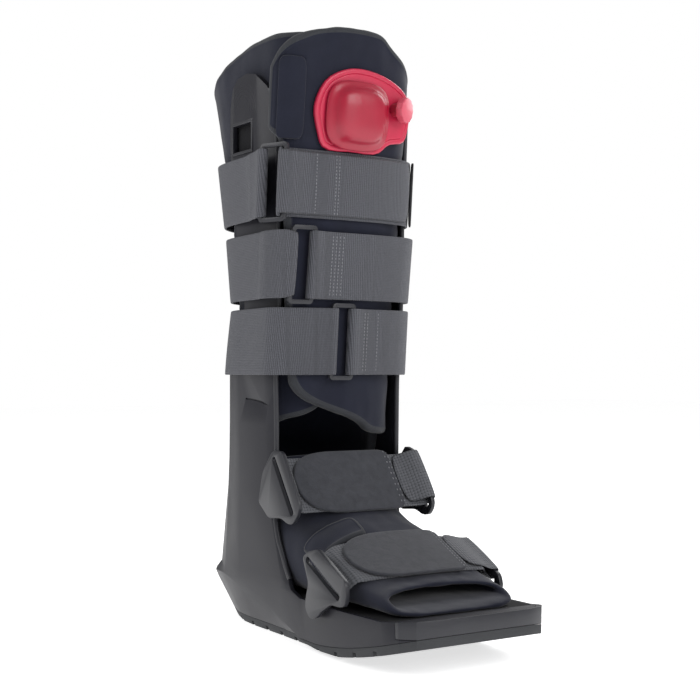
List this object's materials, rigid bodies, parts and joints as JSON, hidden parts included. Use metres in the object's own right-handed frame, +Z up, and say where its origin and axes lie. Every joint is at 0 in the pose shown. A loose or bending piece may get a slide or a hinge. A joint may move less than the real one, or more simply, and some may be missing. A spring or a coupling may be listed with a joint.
{
  "type": "medical walking boot",
  "caption": "Tall walking boot for a healing foot: rigid rocker shell with side uprights, padded open-toe liner, air pump on the shin and webbing straps.",
  "frame": {"origin": "on the floor under the axis of the leg, midway across the boot", "axes": "+Z up along the leg, -Y towards the toes, +X towards the side that carries the pump's release dial"},
  "size_m": [0.1428, 0.2998, 0.434],
  "materials": {
    "shell": "satin",
    "outsole": "matt",
    "footbed": "matt foam",
    "liner": "napped foam laminate",
    "binding": "knitted edge tape",
    "webbing": "ribbed weave",
    "felt": "brushed felt",
    "hook": "hook tape",
    "pump": "semi-gloss"
  },
  "bodies": {
    "boot": {"shell": "shell", "toe_bumper": "shell", "outsole": "outsole", "footbed": "footbed", "window_patch_near": "hook", "window_patch_far": "hook", "liner_leg": "liner", "liner_front_flap": "liner", "closure_strip": "binding", "liner_foot": "liner", "liner_foot_flap": "liner", "strap_calf_top": "webbing", "strap_calf_mid": "webbing", "strap_calf_low": "webbing", "ring_top": "shell", "ring_mid": "shell", "ring_low": "shell", "hook_tab_top": "hook", "ear_ankle_near": "shell", "ear_ankle_far": "shell", "ear_toe_near": "shell", "ear_toe_far": "shell", "strap_ankle": "webbing", "strap_toe": "webbing", "tongue_ankle": "felt", "tongue_toe": "felt", "pump_plate": "pump", "pump_bulb": "pump", "valve_body": "pump"},
    "valve_dial": {"valve_dial": "pump"}
  },
  "joints": [
    {"name": "valve_turn", "type": "hinge", "parent": "boot", "child": "valve_dial", "pos_m": [0.0252, -0.07397, 0.37956], "axis": [0.4695, -0.8759, -0.1114], "range_deg": [0, 90]}
  ]
}
